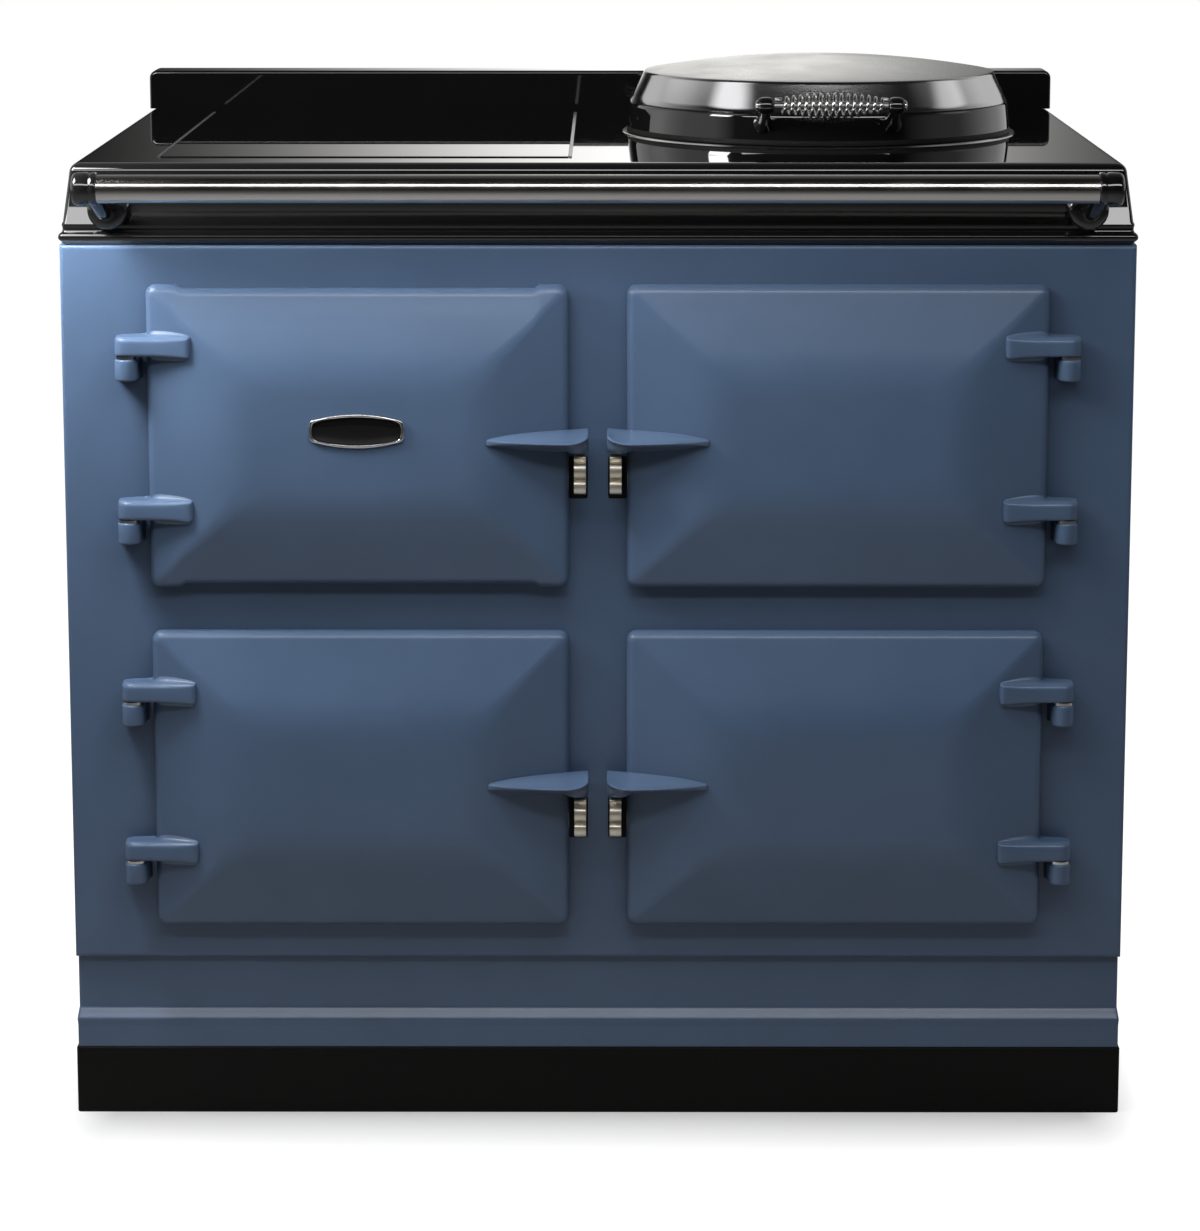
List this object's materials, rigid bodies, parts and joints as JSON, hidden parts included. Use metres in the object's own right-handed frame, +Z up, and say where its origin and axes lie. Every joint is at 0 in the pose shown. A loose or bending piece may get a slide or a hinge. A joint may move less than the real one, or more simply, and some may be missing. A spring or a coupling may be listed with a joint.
{
  "type": "cast iron range cooker",
  "caption": "Blue enamelled range cooker with hinged oven doors, a black hob with a glass zone, a domed chrome lid with a coil grip, and a front handrail.",
  "frame": {"origin": "on the floor, in the middle of the cooker's footprint with its handrail", "axes": "+X to the viewer's right, +Y from the front to the wall, +Z up"},
  "size_m": [0.997, 0.7634, 0.987],
  "materials": {
    "enamel_blue": "gloss vitreous enamel on cast iron",
    "enamel_black": "gloss black vitreous enamel",
    "glass_black": "polished black glass ceramic",
    "chrome": "polished chrome",
    "nickel": "satin nickel plate",
    "steel": "brushed sheet steel",
    "dark_steel": "dark heat-resisting steel",
    "iron": "machined cast iron",
    "copper": "lacquered copper winding",
    "mineral_wool": "matt mineral fibre",
    "rope_seal": "woven glass rope",
    "black_plastic": "satin black moulding",
    "switch_plastic": "matt phenolic moulding"
  },
  "bodies": {
    "cabinet": {"plinth": "enamel_black", "levelling_feet": "dark_steel", "base_tray": "dark_steel", "skirt_moulding": "enamel_blue", "front_casting": "enamel_blue", "hinge_lugs": "enamel_blue", "hinge_pins": "nickel", "catches": "nickel", "door_seals": "rope_seal", "left_side_panel": "enamel_blue", "right_side_panel": "enamel_blue", "back_panel": "steel", "top_casting": "enamel_black", "upstand": "enamel_black", "hob_glass": "glass_black", "glass_trim": "steel", "induction_tray": "steel", "induction_coils": "copper", "hotplate": "iron", "hotplate_ring": "chrome", "hotplate_element": "dark_steel", "handrail": "nickel", "rail_brackets": "enamel_black", "roasting_oven_liner": "steel", "baking_oven_liner": "steel", "simmering_oven_liner": "steel", "oven_shelves": "steel", "oven_elements": "dark_steel", "oven_insulation": "mineral_wool", "control_compartment": "enamel_black", "control_panel": "dark_steel", "switch_bodies": "switch_plastic", "terminal_box": "steel", "cable_gland": "black_plastic", "lid_hinge_bracket": "chrome"},
    "upper_right_door": {"roasting_door": "enamel_blue", "roasting_door_pan": "steel", "roasting_door_insulation": "mineral_wool"},
    "lower_right_door": {"baking_door": "enamel_blue", "baking_door_pan": "steel", "baking_door_insulation": "mineral_wool"},
    "lower_left_door": {"simmering_door": "enamel_blue", "simmering_door_pan": "steel", "simmering_door_insulation": "mineral_wool"},
    "upper_left_door": {"control_door": "enamel_blue", "control_door_pan": "steel", "badge_plate": "chrome"},
    "lid": {"lid_dome": "chrome", "lid_skirt": "enamel_black", "lid_liner": "chrome", "lid_insulation": "mineral_wool", "lid_hinge_arm": "iron", "lid_hinge_pin": "steel", "grip_posts": "enamel_black", "grip_rod": "steel", "grip_coil": "chrome"},
    "left_knob_body": {"left_knob": "black_plastic"},
    "middle_knob_body": {"middle_knob": "black_plastic"},
    "right_knob_body": {"right_knob": "black_plastic"}
  },
  "joints": [
    {"name": "upper_right_door_hinge", "type": "hinge", "parent": "cabinet", "child": "upper_right_door", "pos_m": [0.435, -0.33625, 0.658], "axis": [0, 0, 1], "range_deg": [0, 110]},
    {"name": "lower_right_door_hinge", "type": "hinge", "parent": "cabinet", "child": "lower_right_door", "pos_m": [0.435, -0.33625, 0.332], "axis": [0, 0, 1], "range_deg": [0, 110]},
    {"name": "lower_left_door_hinge", "type": "hinge", "parent": "cabinet", "child": "lower_left_door", "pos_m": [-0.435, -0.33625, 0.332], "axis": [0, 0, -1], "range_deg": [0, 110]},
    {"name": "upper_left_door_hinge", "type": "hinge", "parent": "cabinet", "child": "upper_left_door", "pos_m": [-0.435, -0.33625, 0.658], "axis": [0, 0, -1], "range_deg": [0, 110]},
    {"name": "lid_hinge", "type": "hinge", "parent": "cabinet", "child": "lid", "pos_m": [0.221, 0.25475, 0.936], "axis": [-1, 0, 0], "range_deg": [0, 75]},
    {"name": "left_knob_turn", "type": "hinge", "parent": "cabinet", "child": "left_knob_body", "pos_m": [-0.306, -0.25425, 0.64], "axis": [0, 1, 0], "range_deg": [0, 270]},
    {"name": "middle_knob_turn", "type": "hinge", "parent": "cabinet", "child": "middle_knob_body", "pos_m": [-0.222, -0.25425, 0.64], "axis": [0, 1, 0], "range_deg": [0, 270]},
    {"name": "right_knob_turn", "type": "hinge", "parent": "cabinet", "child": "right_knob_body", "pos_m": [-0.138, -0.25425, 0.64], "axis": [0, 1, 0], "range_deg": [0, 270]}
  ]
}
